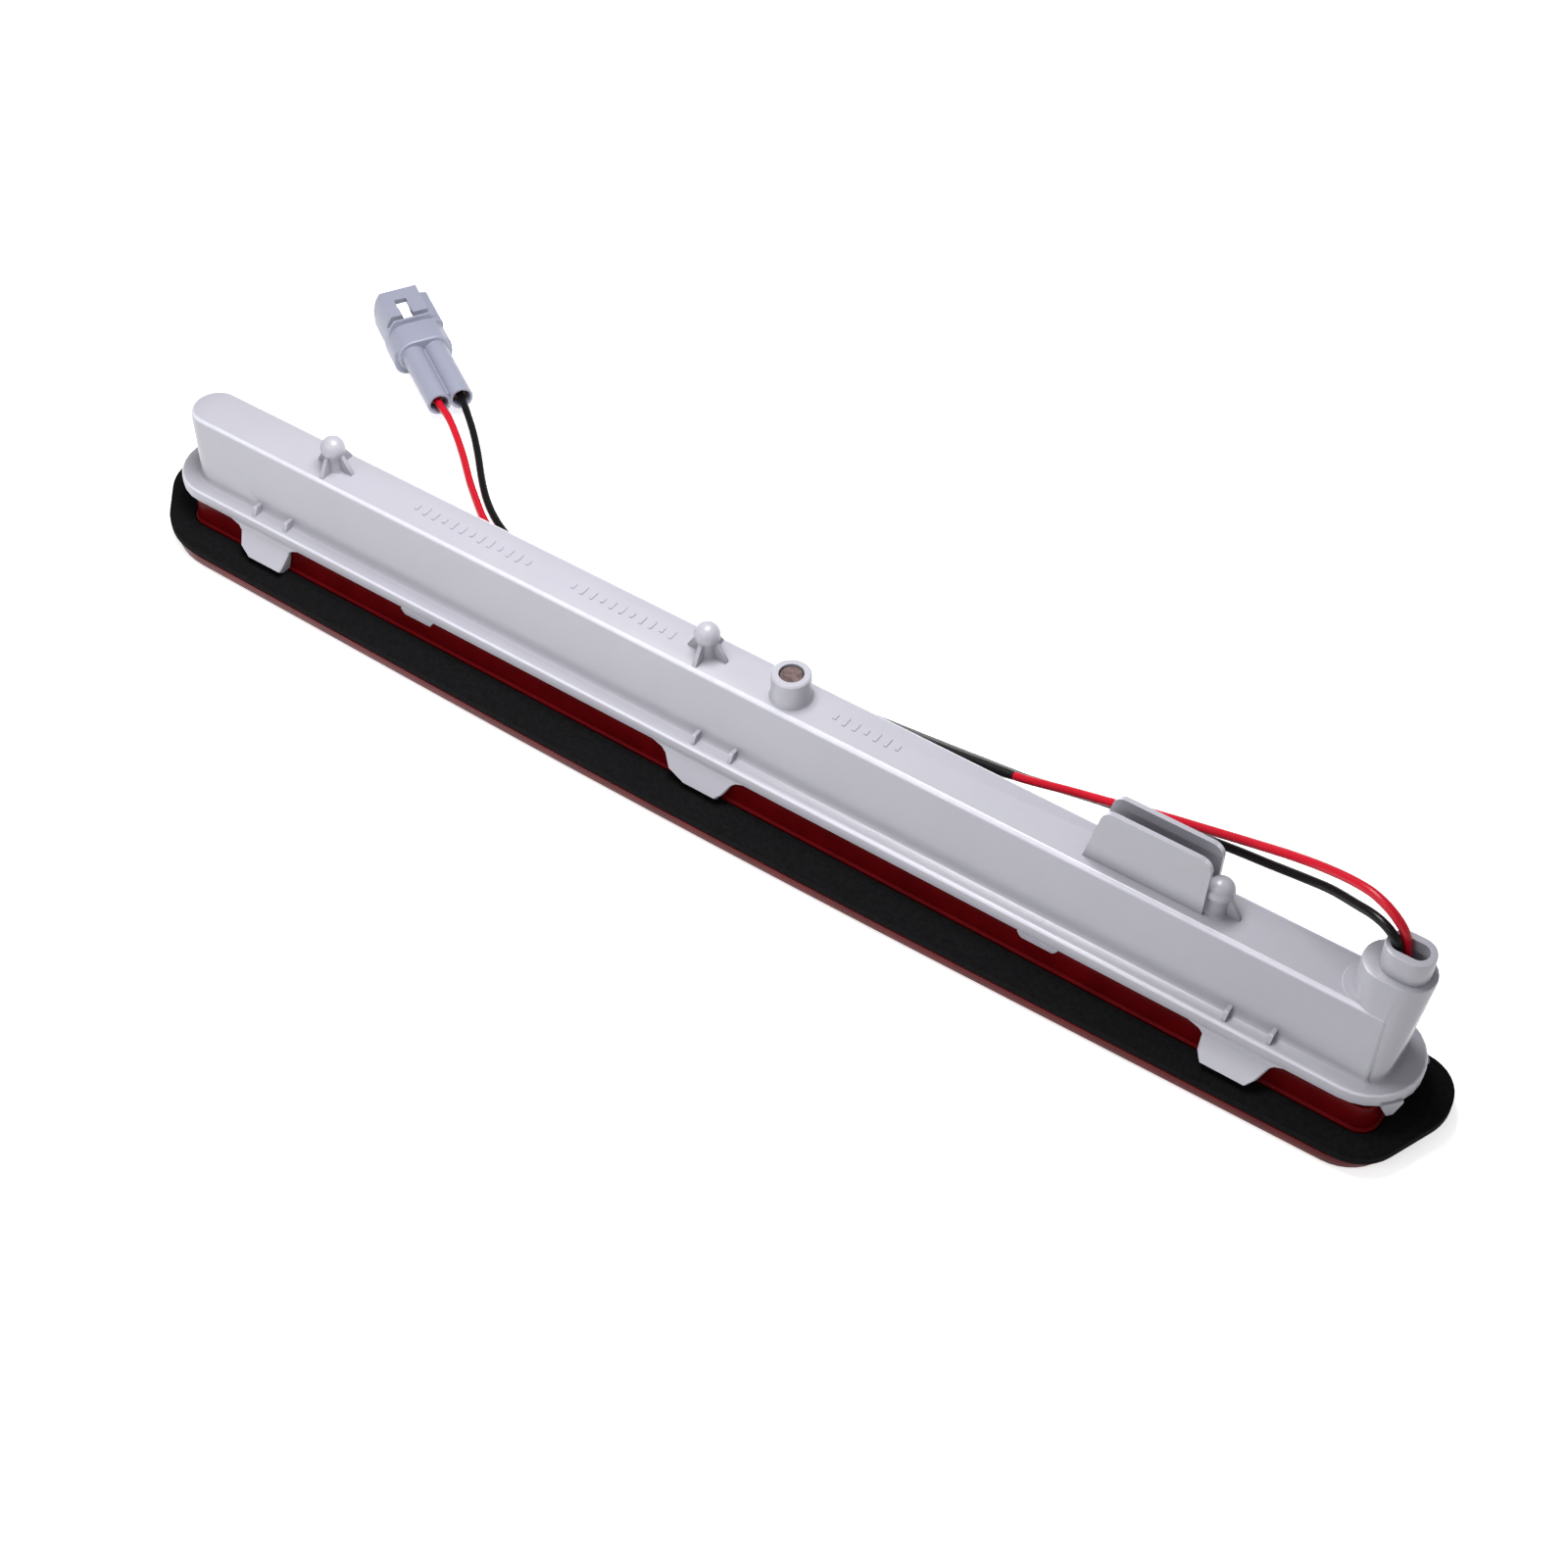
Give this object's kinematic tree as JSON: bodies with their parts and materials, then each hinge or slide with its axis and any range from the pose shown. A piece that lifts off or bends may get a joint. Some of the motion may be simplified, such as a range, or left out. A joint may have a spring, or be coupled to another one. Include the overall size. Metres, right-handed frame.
{
  "type": "third brake light",
  "caption": "High-mount car stop lamp seen from its back: long red lens with a foam gasket, grey housing with snap tabs and locating pegs, and a two-wire cable to a sealed connector",
  "frame": {"origin": "under the middle of the lamp's lens and gasket, on the plane that the lens front rests on", "axes": "+X along the lamp towards the end with the cable outlet, +Y across it towards the side where the cable lies, +Z from the lens front up through the back of the housing"},
  "size_m": [0.316, 0.0998, 0.0509],
  "materials": {
    "red_lens": "dark red moulded acrylic, glossy, seen from behind",
    "foam": "closed-cell black foam with a fine grain",
    "grey_plastic": "light grey moulded plastic with a slight satin sheen",
    "breather": "brown-grey open-cell foam",
    "grommet_rubber": "black silicone rubber",
    "reflector_metal": "vacuum-metallised plastic, mirror bright",
    "board": "green solder resist over glass-epoxy board",
    "led": "white moulded package with a clear dome in its well",
    "chip": "black epoxy",
    "screw": "zinc-plated steel",
    "red_wire": "red vinyl insulation, satin",
    "black_wire": "black vinyl insulation, satin",
    "sleeve": "black shrink tubing, satin, pulled tight over both wires",
    "connector_plastic": "blue-grey moulded nylon",
    "retainer_plastic": "white nylon",
    "terminal": "tin-plated brass",
    "seal_rubber": "brown silicone rubber"
  },
  "bodies": {
    "root": {"lens": "red_lens", "foam_gasket": "foam", "rear_housing": "grey_plastic", "breather_plug": "breather", "cable_grommet": "grommet_rubber", "reflector": "reflector_metal", "circuit_board": "board", "led_01": "led", "led_02": "led", "led_03": "led", "led_04": "led", "led_05": "led", "led_06": "led", "led_07": "led", "led_08": "led", "led_09": "led", "led_10": "led", "led_11": "led", "led_12": "led", "resistor_1": "chip", "resistor_2": "chip", "resistor_3": "chip", "resistor_4": "chip", "protection_diode": "chip", "board_screw_1": "screw", "board_screw_2": "screw", "board_screw_3": "screw", "board_screw_4": "screw", "lead_red_inner": "red_wire", "lead_red_lamp_side": "red_wire", "lead_red_plug_side": "red_wire", "lead_black_inner": "black_wire", "lead_black_lamp_side": "black_wire", "lead_black_plug_side": "black_wire", "shrink_sleeve": "sleeve", "connector_housing": "connector_plastic", "terminal_pin_red": "terminal", "terminal_pin_black": "terminal", "wire_seal_red": "seal_rubber", "wire_seal_black": "seal_rubber"},
    "terminal_retainer": {"terminal_retainer": "retainer_plastic"}
  },
  "joints": [
    {"name": "retainer_slide", "type": "slide", "parent": "root", "child": "terminal_retainer", "axis": [-0.8526, 0.5225, 0], "range_m": [0, 0.0018]}
  ]
}
